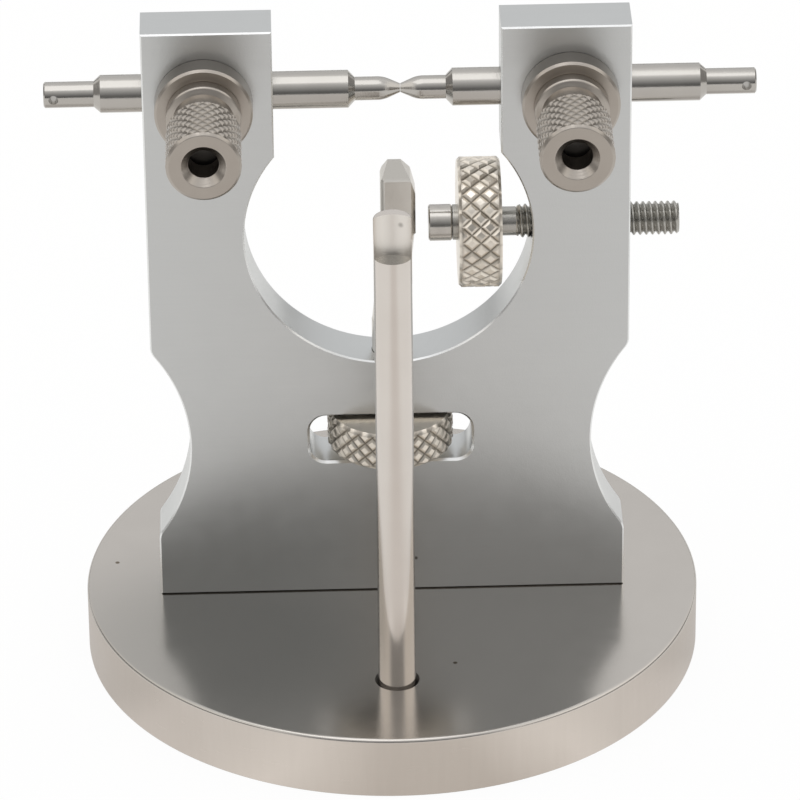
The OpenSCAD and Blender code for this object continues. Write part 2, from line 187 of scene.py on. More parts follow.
nickelSide = {"colour": (0.7, 0.655, 0.61), "shade": (0.62, 0.576, 0.532), "rough": (0.24, 0.36),
              "bump": 0.12}

def nickelSideDetail(graph, where, look):
    # The base's rim, turned, then rubbed up and down
    cloud = graph.noise(where, 0.12, 3)
    turned = graph.noise(graph.stretch(where, 0.25, 0.25, 9), 1, 3)
    rubbed = graph.noise(graph.stretch(where, 1.6, 1.6, 0.12), 1, 3)
    colour = graph.blend(cloud * 0.5 + rubbed * 0.5, look["shade"], look["colour"])
    return colour, turned.spread(*look["rough"]), turned


satinPlate = {"colour": (0.615, 0.628, 0.63), "shade": (0.545, 0.558, 0.56), "mark": (0.2, 0.19, 0.18),
              "markPlace": (2.6, -2.8, 10.9), "markSize": (0.12, 0.26), "rough": (0.26, 0.36), "bump": 0.1}

def satinPlateDetail(graph, where, look):
    # Aluminium brushed sideways, with one small mark
    cloud = graph.noise(where, 0.07, 4)
    grain = graph.noise(where, 7, 2)
    wide = graph.noise(where, 0.45, 3)
    brushed = graph.noise(graph.stretch(where, 0.12, 1, 4), 1, 4, 0.7)
    colour = graph.blend(cloud * 0.4 + wide * 0.2 + brushed * 0.4, look["shade"], look["colour"])
    colour = graph.blend(graph.near(where, look["markPlace"], *look["markSize"]), colour, look["mark"])
    return colour, wide.spread(*look["rough"]), grain


hazyNickel = {"colour": (0.455, 0.42, 0.38), "shade": (0.38, 0.345, 0.31), "groove": (0.22, 0.2, 0.175),
              "rough": (0.24, 0.36), "bump": 0.15}

def hazyNickelDetail(graph, where, look):
    # Collars and clamp nuts, whose turning marks run round the y axis
    cloud = graph.noise(where, 0.35, 4)
    turned = graph.noise(graph.stretch(where, 0.4, 8, 0.4), 1, 2)
    colour = graph.blend(cloud, look["shade"], look["colour"])
    # Painted shade in the grooves of a knurl and at its ends
    colour = graph.blend(graph.groove(), colour, look["groove"])
    return colour, cloud.spread(*look["rough"]), turned


knurlNickel = {"colour": (0.94, 0.88, 0.795), "shade": (0.74, 0.685, 0.605), "groove": (0.27, 0.245, 0.21),
               "rough": (0.24, 0.38), "bump": 0.16}

def knurlNickelDetail(graph, where, look):
    cloud = graph.noise(where, 0.5, 4)
    fine = graph.noise(where, 4, 3)
    colour = graph.blend(cloud * 0.7 + fine * 0.3, look["shade"], look["colour"])
    # Painted shade in the grooves of a knurl and at its ends
    colour = graph.blend(graph.groove(), colour, look["groove"])
    return colour, fine.spread(*look["rough"]), fine


groundSteel = {"colour": (0.8, 0.762, 0.718), "shade": (0.74, 0.702, 0.658), "pit": (0.3, 0.28, 0.26),
               "pitPlace": (0.85, -21.9, 61.6), "pitSize": (0.1, 0.45), "pitDepth": 5, "rough": (0.3, 0.38),
               "bump": 0.05}

def groundSteelDetail(graph, where, look):
    # The post's flat, ground across, with a small pit near the top, pitDepth times as deep as it is wide
    cloud = graph.noise(where, 0.4, 3)
    ground = graph.noise(graph.stretch(where, 1, 1, 9), 1, 2)
    squeeze = 1 / look["pitDepth"]
    x, y, z = look["pitPlace"]
    pit = graph.near(graph.stretch(where, 1, squeeze, 1), (x, y * squeeze, z), *look["pitSize"])
    colour = graph.blend(cloud, look["shade"], look["colour"])
    colour = graph.blend(pit, colour, look["pit"])
    return colour, cloud.spread(*look["rough"]), ground - pit * 2


bladeSteel = {"colour": (0.69, 0.667, 0.63), "shade": (0.61, 0.588, 0.552), "tip": (0.53, 0.51, 0.475),
              "tipFrom": 56.3, "tipBlend": 0.7, "rough": (0.24, 0.34), "bump": 0.06}

def bladeSteelDetail(graph, where, look):
    # The index, a little darker on the bevel at its top
    cloud = graph.noise(where, 0.35, 3)
    drawn = graph.noise(graph.stretch(where, 4, 4, 0.4), 1, 2)
    bevel = graph.parts(where)[2].smooth(look["tipFrom"], look["tipFrom"] + look["tipBlend"])
    colour = graph.blend(cloud, look["shade"], look["colour"])
    colour = graph.blend(bevel, colour, look["tip"])
    return colour, cloud.spread(*look["rough"]), drawn


tipSteel = {"colour": (0.56, 0.54, 0.51), "shade": (0.42, 0.4, 0.372), "rough": (0.13, 0.22), "bump": 0.08}

def tipSteelDetail(graph, where, look):
    cloud = graph.noise(where, 0.7, 3)
    turned = graph.noise(graph.stretch(where, 6, 0.5, 0.5), 1, 2)
    return graph.blend(cloud, look["shade"], look["colour"]), turned.spread(*look["rough"]), turned


# cloud is the scale and the detail of the shading, and lines the scale of the drawing marks by axis
plainMetals = {
    # A painted highlight: the plate's aluminium made lighter, for the plate's bevels
    "paintedHighlightEdge": {"colour": (0.86, 0.87, 0.87), "shade": (0.72, 0.73, 0.73), "cloud": (0.6, 4),
                   "rough": (0.22, 0.34), "bump": 0.1},
    "steelRod": {"colour": (0.49, 0.473, 0.447), "shade": (0.44, 0.422, 0.396), "cloud": (0.3, 3),
                 "lines": (12, 1.5, 1.5), "rough": (0.12, 0.22), "bump": 0.08},
    "steelPost": {"colour": (0.68, 0.638, 0.6), "shade": (0.61, 0.568, 0.532), "cloud": (0.2, 3),
                  "lines": (3, 3, 0.3), "rough": (0.12, 0.2), "bump": 0.05},
    # The thread's steel, also used as painted shade on the ledge at the foot of the post's flat
    "threadSteelAndPaintedShade": {"colour": (0.46, 0.45, 0.425), "shade": (0.38, 0.37, 0.345), "cloud": (0.6, 3),
                    "rough": (0.2, 0.32), "bump": 0.1},
    "boltSteel": {"colour": (0.11, 0.104, 0.098), "shade": (0.07, 0.066, 0.062), "cloud": (0.8, 4),
                  "rough": (0.35, 0.5), "bump": 0.1},
    # Dark steel for the small parts, and painted shade in the base's socket and along the plate's foot
    "darkSteelAndPaintedShade": {"colour": (0.22, 0.21, 0.2), "shade": (0.15, 0.145, 0.14), "cloud": (0.6, 4),
                  "rough": (0.3, 0.45), "bump": 0.1},
}

def plainDetail(graph, where, look):
    cloud = graph.noise(where, *look["cloud"])
    lines = graph.noise(graph.stretch(where, *look["lines"]), 1, 2) if "lines" in look else cloud
    return graph.blend(cloud, look["shade"], look["colour"]), cloud.spread(*look["rough"]), lines


looks = {"nickelTop": (nickelTop, nickelTopDetail), "nickelSide": (nickelSide, nickelSideDetail),
         "satinPlate": (satinPlate, satinPlateDetail), "hazyNickel": (hazyNickel, hazyNickelDetail),
         "knurlNickel": (knurlNickel, knurlNickelDetail), "groundSteel": (groundSteel, groundSteelDetail),
         "bladeSteel": (bladeSteel, bladeSteelDetail), "tipSteel": (tipSteel, tipSteelDetail)}
looks.update({name: (look, plainDetail) for name, look in plainMetals.items()})
finishes = {name: metal(name, look, detail) for name, (look, detail) in looks.items()}
print("metals made:", len(finishes))


tiny = 1e-6         # closer than this is the same place
weldReach = 1e-4    # points this close are joined
sharpAngle = 28     # degrees between two faces that meet in a sharp edge

def addObject(name, data):
    made = bpy.data.objects.new(name, data)
    scene.collection.objects.link(made)
    return made


def makePiece(name, points, faces, finish, sharp=sharpAngle, shades=None):
    # shades is the painted shade at each point, deepest in a groove
    mesh = bpy.data.meshes.new(name)
    mesh.from_pydata([Vector(point) * mm for point in points], [], faces)
    if shades:
        mesh.attributes.new("groove", "FLOAT", "POINT").data.foreach_set("value", shades)
    piece = addObject(name, mesh)
    tidyMesh(piece, finish, sharp)
    return piece


def tidyMesh(piece, finish, sharp=sharpAngle):
    # Joins doubled points, turns the faces outward and shades them smooth but for the sharp edges
    solid = bmesh.new()
    solid.from_mesh(piece.data)
    bmesh.ops.remove_doubles(solid, verts=solid.verts, dist=weldReach * mm)
    bmesh.ops.recalc_face_normals(solid, faces=solid.faces)
    solid.to_mesh(piece.data)
    solid.free()
    mesh = piece.data
    mesh.shade_smooth()
    mesh.set_sharp_from_angle(angle=radians(sharp))
    mesh.materials.clear()
    mesh.materials.append(finishes[finish])


def addFinishes(piece, *names):
    # These become the material indices 1, 2 and so on
    for name in names:
        piece.data.materials.append(finishes[name])


def settle(piece, body, node):
    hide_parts(node)
    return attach(piece, body)


def rounded(corners, steps, hug=0.03):
    # Rounds the corners of a profile of (along, radius, fillet) points, with a
    # guard point beside each arc, so that flat stretches shade flat
    points = []
    for index, (along, radius, fillet) in enumerate(corners):
        here = Vector((along, radius))
        if fillet == 0 or index in (0, len(corners) - 1):
            points.append(tuple(here))
            continue
        before = Vector(corners[index - 1][:2]) - here
        after = Vector(corners[index + 1][:2]) - here
        back, ahead = before.normalized(), after.normalized()
        turn = before.angle(after)
        reach = min(fillet / tan(turn / 2), before.length * 0.48, after.length * 0.48)
        size = reach * tan(turn / 2)
        middle = here + (back + ahead).normalized() * (size / sin(turn / 2))
        start = here + back * reach
        end = here + ahead * reach
        arm = start - middle
        sweep = arm.angle_signed(end - middle)
        points.append(tuple(start + back * min(hug, before.length * 0.02)))
        for step in range(steps + 1):
            points.append(tuple(middle + Matrix.Rotation(-sweep * step / steps, 2) @ arm))
        points.append(tuple(end + ahead * min(hug, after.length * 0.02)))
    return points


axes = {
    "x": lambda along, radius, turn: (along, radius * cos(turn), radius * sin(turn)),
    "z": lambda along, radius, turn: (radius * cos(turn), radius * sin(turn), along),
    "forward": lambda along, radius, turn: (radius * sin(turn), -along, radius * cos(turn)),
}


class Knurl:
    # Crossed grooves round a turned surface, with flat-topped diamonds between them
    segmentsPerCell = 8
    # Painted shade on the flats and at the knurl's ends, and how wide the shaded band in a groove is
    flatShade, endShade, shadeWidth = 0.06, 0.5, 0.55

    def __init__(self, start, end, look):
        # look has the radius, cellLength, cellsAround, knurlDepth and knurlSlope
        self.start, self.end, self.middle = start, end, (start + end) / 2
        self.radius = look["radius"]
        self.cellLength, self.cellsAround = look["cellLength"], look["cellsAround"]
        self.depth, self.slope = look["knurlDepth"], look["knurlSlope"]
        self.segments = self.segmentsPerCell * self.cellsAround

    def cell(self, along, turn):
        # How far the point lies from a groove of each direction, 0 to 0.5
        u = (along - self.middle) / self.cellLength
        v = turn / (2 * pi) * self.cellsAround
        return abs((u + v) % 1 - 0.5), abs((u - v) % 1 - 0.5)

    def covers(self, along, radius):
        return radius > self.radius - tiny and self.start - tiny <= along <= self.end + tiny

    def cut(self, along, radius, turn):
        if not self.covers(along, radius):
            return 0
        return self.depth * (1 - min(min(self.cell(along, turn)) * 2 / self.slope, 1))

    def shade(self, along, radius, turn):
        # Painted shade: 1 in the bottom of a groove, endShade at the ends, flatShade on the flats, 0 off the
        # knurl
        if not self.covers(along, radius):
            return 0
        if min(along - self.start, self.end - along) < tiny:
            return self.endShade
        inGroove = max(1 - min(self.cell(along, turn)) * 2 / (self.slope * self.shadeWidth), 0)
        return self.flatShade + (1 - self.flatShade) * inGroove

    def rim(self):
        # The profile of the knurled stretch, without a row that would lie too near an end
        step = self.cellLength / self.segmentsPerCell
        reach = floor((self.end - self.middle) / step - 0.2)
        rows = [self.start] + [self.middle + step * k for k in range(-reach, reach + 1)] + [self.end]
        return [(along, self.radius) for along in rows]

    def split(self, corners, along, turn):
        # Two triangles that meet along the nearer groove
        one, two, three, four = corners
        first, second = self.cell(along, turn)
        if first < second:
            return [[one, two, four], [two, three, four]]
        return [[one, two, three], [one, three, four]]


def lathe(name, profile, axis, at, finish, segments=None, knurl=None, ring=False,
          sharp=sharpAngle):
    # Turns a profile of (along, radius) points. A ring's profile is closed.
    segments = segments or knurl.segments
    points, faces, rows, shades = [], [], [], []
    for along, radius in profile:
        if radius < tiny:
            points.append(Vector(at) + Vector(axes[axis](along, 0, 0)))
            shades.append(0)
            rows.append([len(points) - 1] * segments)
            continue
        row = []
        for step in range(segments):
            turn = 2 * pi * step / segments
            cut = knurl.cut(along, radius, turn) if knurl else 0
            points.append(Vector(at) + Vector(axes[axis](along, radius - cut, turn)))
            shades.append(knurl.shade(along, radius, turn) if knurl else 0)
            row.append(len(points) - 1)
        rows.append(row)
    pairs = list(zip(rows, rows[1:])) + ([(rows[-1], rows[0])] if ring else [])
    for index, (low, high) in enumerate(pairs):
        (here, hereRadius), (there, thereRadius) = profile[index], profile[(index + 1) % len(profile)]
        knurled = knurl and knurl.covers(here, hereRadius) and knurl.covers(there, thereRadius)
        for step in range(segments):
            after = (step + 1) % segments
            corners = [low[step], low[after], high[after], high[step]]
            if knurled:
                faces += knurl.split(corners, (here + there) / 2, 2 * pi * (step + 0.5) / segments)
                continue
            face = list(dict.fromkeys(corners))
            if len(face) > 2:
                faces.append(face)
    return makePiece(name, points, faces, finish, sharp, shades if knurl else None)


def bar(name, low, high, finish):
    # A closed bar between two rings of as many points
    count = len(low)
    faces = [[k, (k + 1) % count, count + (k + 1) % count, count + k] for k in range(count)]
    faces += [list(range(count))[::-1], list(range(count, 2 * count))]
    return makePiece(name, low + high, faces, finish)


def rod(name, start, end, radius, segments=96):
    # A round bar to bore holes with
    start, end = Vector(start), Vector(end)
    turn = (end - start).to_track_quat("Z", "Y").to_matrix()
    angles = [2 * pi * k / segments for k in range(segments)]
    low, high = [[start + turn @ Vector((radius * cos(angle), radius * sin(angle), z)) for angle in angles]
                 for z in (0, (end - start).length)]
    return bar(name, low, high, "darkSteelAndPaintedShade")


def carve(piece, *tools):
    # Cuts closed tool pieces out of a piece and drops the tools
    for tool in tools:
        cut = piece.modifiers.new("cut", "BOOLEAN")
        cut.operation = "DIFFERENCE"
        cut.solver = "EXACT"
        cut.object = tool
    bpy.context.view_layer.update()
    evaluated = piece.evaluated_get(bpy.context.evaluated_depsgraph_get())
    mesh = bpy.data.meshes.new_from_object(evaluated)
    piece.modifiers.clear()
    piece.data = mesh
    for tool in tools:
        bpy.data.objects.remove(tool)


base = {"radius": 33.45, "height": 7.0, "floor": 0.8, "edge": 0.4, "foot": 0.15, "rimFrom": 30,
        "segments": 256, "socketY": -21.3, "socketRadius": 2.05, "mouthRadius": 2.38, "mouthDepth": 0.33}

def buildBase():
    top, radius = base["height"], base["radius"]
    profile = rounded([(0, 0, 0), (0, radius, base["foot"]), (top, radius, base["edge"]), (top, 0, 0)], 6)
    disc = lathe("baseDisc", profile, "z", (0, 0, 0), "nickelTop", base["segments"], sharp=40)
    # The socket runs on 1 mm above the disc, as wide as its countersink leads
    socket = [(base["floor"], 0), (base["floor"], base["socketRadius"]),
              (top - base["mouthDepth"], base["socketRadius"]), (top, base["mouthRadius"]),
              (top + 1, base["mouthRadius"] + 1), (top + 1, 0)]
    carve(disc, lathe("mouth", socket, "z", (0, base["socketY"], 0), "darkSteelAndPaintedShade", 96))
    tidyMesh(disc, "nickelTop", 40)
    addFinishes(disc, "nickelSide", "darkSteelAndPaintedShade")
    # The rim gets nickelSide, and the socket and its countersink get painted shade
    for face in disc.data.polygons:
        centre = face.center / mm
        fromSocket = hypot(centre.x, centre.y - base["socketY"])
        upright = abs(face.normal.z) < 0.25
        if upright and hypot(centre.x, centre.y) > base["rimFrom"]:
            face.material_index = 1
        elif face.normal.z < 0.9 and fromSocket < base["mouthRadius"] + 0.1:
            face.material_index = 2
    return settle(disc, "stand", "base_disc")


plate = {"thick": 5.6, "half": 25.65, "blockHalf": 25.3, "top": 75.0, "foot": 7.0, "gapHalf": 11.95,
         "windowZ": 50.8, "windowRadius": 15.3, "waistZ": 25.6, "waistRadius": 18.6, "waistDepth": 4.0,
         "cornerRadius": 1.8, "slotZ": 26.1, "slotHalf": 8.75, "slotHeight": 5.6, "slotRound": 1.8,
         "edge": 0.16, "slotEdge": 0.25, "runnerZ": 66.9, "runnerBore": 2.05, "runnerBoreFrom": 8,
         "sideBore": 1.85, "sideBoreFrom": 12.5, "bladeBore": 1.9, "bladeBoreTop": 50, "boltBore": 3.3}

def arc(centreX, centreZ, radius, start, end, steps):
    angles = [radians(start + (end - start) * k / steps) for k in range(steps + 1)]
    return [(centreX + radius * cos(angle), centreZ + radius * sin(angle)) for angle in angles]


def waistSide():
    # The right side from the block's foot up to the arm, with the scallop and its two rounded ends
    corner, deep, height = plate["cornerRadius"], plate["waistRadius"], plate["waistZ"]
    middle = plate["half"] - plate["waistDepth"] + deep
    ends = []
    for half, up in ((plate["blockHalf"], -1), (plate["half"], 1)):
        centre = half - corner
        rise = sqrt((deep + corner) ** 2 - (middle - centre) ** 2)
        lean = degrees(atan(rise / (middle - centre)))
        ends.append((arc(centre, height + up * rise, corner, 0, -up * lean, 10), lean))
    (lower, lowerLean), (upper, upperLean) = ends
    scallop = arc(middle, height, deep, 180 + lowerLean, 180 - upperLean, 56)
    return lower + scallop[1:-1] + upper[::-1]


def plateOutline():
    foot, top = (plate["blockHalf"], plate["foot"]), (plate["half"], plate["top"])
    right = [foot] + waistSide() + [top, (plate["gapHalf"], plate["top"])]
    rise = sqrt(plate["windowRadius"] ** 2 - plate["gapHalf"] ** 2)
    start = degrees(atan(rise / plate["gapHalf"]))
    window = arc(0, plate["windowZ"], plate["windowRadius"], start, -180 - start, 160)
    left = [(-x, z) for x, z in right[::-1]]
    return right + window + left


def slotOutline():
    corner = plate["slotRound"]
    along, up = plate["slotHalf"] - corner, plate["slotHeight"] / 2 - corner
    outline = []
    for x, z, start in ((1, 1, 0), (-1, 1, 90), (-1, -1, 180), (1, -1, 270)):
        outline += arc(x * along, plate["slotZ"] + z * up, corner, start, start + 90, 12)
    return outline


def inset(outline, distance, inward):
    # Moves an outline sideways. The mitre at a point is kept short where the corner is sharp.
    moved = []
    for index in range(len(outline)):
        here = Vector(outline[index])
        before = here - Vector(outline[index - 1])
        after = Vector(outline[(index + 1) % len(outline)]) - here
        first = Vector((-before.y, before.x)).normalized() * inward
        second = Vector((-after.y, after.x)).normalized() * inward
        middle = (first + second).normalized()
        moved.append(here + middle * (distance / max(middle.dot(first), 0.3)))
    return moved


def plateMesh():
    # Walls round the outline and round the slot, bevelled front and back, then the two faces
    solid = bmesh.new()
    half = plate["thick"] / 2
    walls = []
    outside, slot = (plateOutline(), 1, plate["edge"]), (slotOutline(), -1, plate["slotEdge"])
    for outline, inward, edge in (outside, slot):
        rings = []
        for y, shift in ((-half, edge), (-half + edge, 0), (half - edge, 0), (half, edge)):
            path = inset(outline, shift, inward) if shift else outline
            rings.append([solid.verts.new(Vector((x, y, z)) * mm) for x, z in path])
        for low, high in zip(rings, rings[1:]):
            for k in range(len(low)):
                after = (k + 1) % len(low)
                solid.faces.new((low[k], low[after], high[after], high[k]))
        walls.append(rings)
    for face in (0, -1):
        edges = []
        for rings in walls:
            ring = rings[face]
            edges += [solid.edges.get((ring[k], ring[(k + 1) % len(ring)])) for k in range(len(ring))]
        bmesh.ops.triangle_fill(solid, use_beauty=True, use_dissolve=False, edges=edges)
    bmesh.ops.recalc_face_normals(solid, faces=solid.faces)
    mesh = bpy.data.meshes.new("framePlate")
    solid.to_mesh(mesh)
    solid.free()
    return mesh


def buildPlate():
    piece = addObject("framePlate", plateMesh())
    runnerZ, windowZ = plate["runnerZ"], plate["windowZ"]
    outside, front = 40, 5    # clear of the plate to the sides, and to the front and back
    tools = [rod("bladeBore", (0, 0, plate["slotZ"]), (0, 0, plate["bladeBoreTop"]), plate["bladeBore"]),
             rod("sideBore", (plate["sideBoreFrom"], 0, windowZ), (outside, 0, windowZ), plate["sideBore"])]
    for side in (-1, 1):
        start, bolt = side * plate["runnerBoreFrom"], side * clamp["x"]
        end = side * outside
        tools.append(rod("runnerBore", (start, 0, runnerZ), (end, 0, runnerZ), plate["runnerBore"]))
        tools.append(rod("boltBore", (bolt, -front, runnerZ), (bolt, front, runnerZ), plate["boltBore"]))
    carve(piece, *tools)
    tidyMesh(piece, "satinPlate", 30)
    addFinishes(piece, "paintedHighlightEdge", "darkSteelAndPaintedShade")
    # The bevels get a painted highlight, and the bevel along the foot gets painted shade where the plate
    # meets the base
    bevelFrom = plate["thick"] / 2 - plate["slotEdge"]
    for face in piece.data.polygons:
        slanting = 0.5 < abs(face.normal.y) < 0.85
        if slanting and abs(face.center.y / mm) > bevelFrom:
            face.material_index = 1 if face.center.z / mm > plate["foot"] + plate["edge"] else 2
    return settle(piece, "stand", "frame_plate")


clamp = {"x": 19.2, "face": -2.8, "start": 2.61, "radius": 3.93, "bossLength": 1.4, "neckLength": 3.3,
         "neckRadius": 3.25, "neckFront": 0.34, "neckBack": 0.68, "barrelLength": 7.2, "barrelEdge": 0.1,
         "boreRadius": 1.575, "sinkRadius": 2.35, "boreFloor": 11.0, "threadBore": 1.85, "edge": 0.3,
         "cellLength": 1.4, "cellsAround": 22, "knurlDepth": 0.17, "knurlSlope": 0.6}

def buildClampNut(side, name):
    # Boss, neck and knurled barrel, open at the end with a countersunk bore
    start, radius, neckRadius, edge = clamp["start"], clamp["radius"], clamp["neckRadius"], clamp["edge"]
    bore, sinkRadius, boreFloor = clamp["boreRadius"], clamp["sinkRadius"], clamp["boreFloor"]
    barrelEdge = clamp["barrelEdge"]
    neck = start + clamp["bossLength"]
    barrel = neck + clamp["neckLength"]
    end = barrel + clamp["barrelLength"]
    knurl = Knurl(barrel, end - edge, clamp)
    front = rounded([(start, clamp["threadBore"], 0), (start, radius, 0.15), (neck, radius, edge),
                     (neck + clamp["neckFront"], neckRadius, 0),
                     (barrel - clamp["neckBack"], neckRadius, 0.2),
                     (barrel - barrelEdge, radius - barrelEdge, 0)], 4)
    tip = rounded([(end - edge * 0.9, radius - 0.02, 0), (end, radius - edge, 0.12), (end, sinkRadius, 0.1),
                   (end - (sinkRadius - bore), bore, 0.1), (boreFloor, bore, 0)], 3)
    profile = front + knurl.rim() + tip + [(boreFloor, clamp["threadBore"])]
    at = (side * clamp["x"], clamp["face"], plate["runnerZ"])
    nut = lathe(name, profile, "forward", at, "hazyNickel", knurl=knurl, ring=True)
    node = "clamp_nut_" + ("left" if side < 0 else "right")
    return settle(nut, node, node)


sideScrew = {"tail": 6.85, "wheel": 7.4, "wheelLength": 4.55, "radius": 6.95, "tailRadius": 1.9,
             "spigotRadius": 1.0, "spigotLength": 1.5, "reliefRadius": 1.55, "reliefLength": 1.9,
             "threadRadius": 1.8, "threadDepth": 0.36, "threadLength": 17.1, "threadSteep": 1.25,
             "threadLap": 0.25, "pitch": 0.66, "leadIn": 0.5, "leadOut": 0.35, "edge": 0.3,
             "cellLength": 1.95, "cellsAround": 24, "knurlDepth": 0.24, "knurlSlope": 0.5}

def buildSideWheel(wheelEnd, threadStart):
    # The wheel with its spigot and tail in front of it and the relief behind it
    tailEnd, wheel, edge = sideScrew["tail"], sideScrew["wheel"], sideScrew["edge"]
    spigotEnd, spigot = tailEnd - sideScrew["spigotLength"], sideScrew["spigotRadius"]
    tail, relief, flat = sideScrew["tailRadius"], sideScrew["reliefRadius"], sideScrew["radius"] - edge
    knurl = Knurl(wheel + edge, wheelEnd - edge, sideScrew)
    front = rounded([(spigotEnd, 0, 0), (spigotEnd, spigot, 0.1), (tailEnd, spigot, 0),
                     (tailEnd, tail, 0.08), (wheel, tail, 0), (wheel, flat, 0)], 3)
    back = [(wheelEnd, flat), (wheelEnd, relief), (threadStart, relief), (threadStart, 0)]
    profile = front + knurl.rim() + back
    piece = lathe("lateralWheel", profile, "x", (0, 0, plate["windowZ"]), "knurlNickel", knurl=knurl)
    addFinishes(piece, "threadSteelAndPaintedShade")
    for face in piece.data.polygons:
        if not wheel - 0.01 < face.center.x / mm < wheelEnd + 0.01:
            face.material_index = 1
    return piece


def buildSideThread(start, end):
    # A true helical thread, run out to the relief's radius at both ends
    around, perTurn = 72, 12
    crest, relief, pitch = sideScrew["threadRadius"], sideScrew["reliefRadius"], sideScrew["pitch"]
    count = int((end - start) / pitch * perTurn)
    points, faces = [], []
    for k in range(count + 1):
        along = start + (end - start) * k / count
        lead = max(min((along - start) / sideScrew["leadIn"], (end - along) / sideScrew["leadOut"], 1), 0)
        for step in range(around):
            turn = 2 * pi * step / around
            phase = (along / pitch - turn / (2 * pi)) % 1
            height = min(abs(phase - 0.5) * 2 * sideScrew["threadSteep"], 1)
            radius = min(crest - sideScrew["threadDepth"] * (1 - height), relief + (crest - relief) * lead)
            points.append((along, radius * cos(turn), plate["windowZ"] + radius * sin(turn)))
    for k in range(count):
        for step in range(around):
            low, high = k * around, (k + 1) * around
            after = (step + 1) % around
            faces.append([low + step, low + after, high + after, high + step])
    faces.append(list(range(around))[::-1])
    faces.append([count * around + step for step in range(around)])
    return makePiece("lateralThread", points, faces, "threadSteelAndPaintedShade", 50)


def buildSideScrew():
    wheelEnd = sideScrew["wheel"] + sideScrew["wheelLength"]
    threadStart = wheelEnd + sideScrew["reliefLength"]
    lapped = threadStart - sideScrew["threadLap"]
    wheel = buildSideWheel(wheelEnd, lapped)
    thread = buildSideThread(lapped, threadStart + sideScrew["threadLength"])
    settle(wheel, "lateral_screw", "lateral_screw")
    settle(thread, "lateral_screw", "lateral_screw")


indexNut = {"z": 24.3, "height": 4.3, "radius": 6.8, "bore": 1.85, "edge": 0.3, "cellsAround": 25,
            "cellLength": 1.65, "knurlDepth": 0.22, "knurlSlope": 0.5}

def buildIndexNut():
    bore, edge, flat = indexNut["bore"], indexNut["edge"], indexNut["radius"] - indexNut["edge"]
    low, high = indexNut["z"], indexNut["z"] + indexNut["height"]
    knurl = Knurl(low + edge, high - edge, indexNut)
    profile = [(low, bore), (low, flat)] + knurl.rim() + [(high, flat), (high, bore)]
    piece = lathe("indexNut", profile, "z", (0, 0, 0), "knurlNickel", knurl=knurl, ring=True)
    return settle(piece, "index_nut", "index_nut")


# The hollow flat is flatFoot deep at its shoulder and flatTop deep at the post's top
post = {"y": -21.3, "foot": 0.85, "radius": 2.0, "top": 62.7, "footEdge": 0.2, "topEdge": 0.15,
        "flatHeight": 4.4, "flatFoot": 2.25, "flatTop": 2.8, "flatRadius": 2.6}

def flatCutter(shoulder, segments=128, length=9):
    # A slanting round bar whose lower end is level
    hollow = post["flatRadius"]
    lean = Matrix.Rotation(atan((post["flatFoot"] - post["flatTop"]) / post["flatHeight"]), 3, "X")
    direction = lean @ Vector((0, 0, 1))
    pivot = Vector((0, post["y"] - post["radius"] + post["flatFoot"], shoulder))
    rings = []
    for level in (shoulder, shoulder + length):
        ring = []
        for k in range(segments):
            turn = 2 * pi * k / segments
            spot = pivot + lean @ Vector((hollow * cos(turn), hollow * sin(turn) - hollow, 0))
            ring.append(spot + direction * ((level - spot.z) / direction.z))
        rings.append(ring)
    return bar("flatCutter", *rings, "steelPost")


def buildPost():
    foot, top, radius = post["foot"], post["top"], post["radius"]
    profile = rounded([(foot, 0, 0), (foot, radius, post["footEdge"]), (top, radius, post["topEdge"]),
                       (top, 0, 0)], 4)
    piece = lathe("frontPost", profile, "z", (0, post["y"], 0), "steelPost", 96)
    shoulder = top - post["flatHeight"]
    carve(piece, flatCutter(shoulder))
    tidyMesh(piece, "steelPost", 30)
    addFinishes(piece, "groundSteel", "threadSteelAndPaintedShade")
    # The flat gets groundSteel, and the ledge at its foot gets painted shade
    for face in piece.data.polygons:
        centre = face.center / mm
        away = hypot(centre.x, centre.y - post["y"])
        if abs(centre.z - shoulder) < 0.01 and face.normal.z > 0.9:
            face.material_index = 2
        elif centre.z > shoulder and abs(face.normal.z) < 0.8 and away < radius * 0.96:
            face.material_index = 1
    return settle(piece, "front_post", "front_post")


buildBase()
buildPlate()
buildClampNut(-1, "clampNutLeft")
buildClampNut(1, "clampNutRight")
buildSideScrew()
buildIndexNut()
buildPost()
print("pieces built")

# The finish of each node whose own shape stays
nodeFinish = {"plate_screws": "darkSteelAndPaintedShade", "guide_pin": "darkSteelAndPaintedShade", "spring_washer": "darkSteelAndPaintedShade",
              "clamp_bolt_left": "boltSteel", "clamp_bolt_right": "boltSteel",
              "clamp_collar_left": "hazyNickel", "clamp_collar_right": "hazyNickel",
              "runner_left": "steelRod", "runner_right": "steelRod",
              "lateral_tip": "tipSteel", "index_blade": "bladeSteel"}
for name, finish in nodeFinish.items():
    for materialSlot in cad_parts[name].material_slots:
        materialSlot.material = finishes[finish]
print("nodes finished:", len(nodeFinish))


# The metals see painted shade and light on the floor: painted shade straight ahead of the stand and pale
# further off. Close by they see colours which go from the front round to the sides, by their distance from
# the
# front: painted shade in front, painted light a little aside, and painted shade further round.
paleFloor = {"colour": (0.95, 0.95, 0.945), "darker": 0.98, "white": 0.94, "reach": 1500, "sunk": 0.02,
             "front": (4, -30), "frontReach": (8, 60), "nearReach": (52, 44),
             "frontPaintedShade": (0.84, 0.805, 0.775), "farColour": (1.0, 0.99, 0.97),
             "nearPaintedShadeAndLight": [(0, (0.72, 0.68, 0.64)), (6, (0.72, 0.68, 0.64)), (19, (1.0, 0.965, 0.93)),
                             (28, (0.88, 0.85, 0.82)), (44, (0.82, 0.79, 0.765)), (53, (0.69, 0.665, 0.64))]}

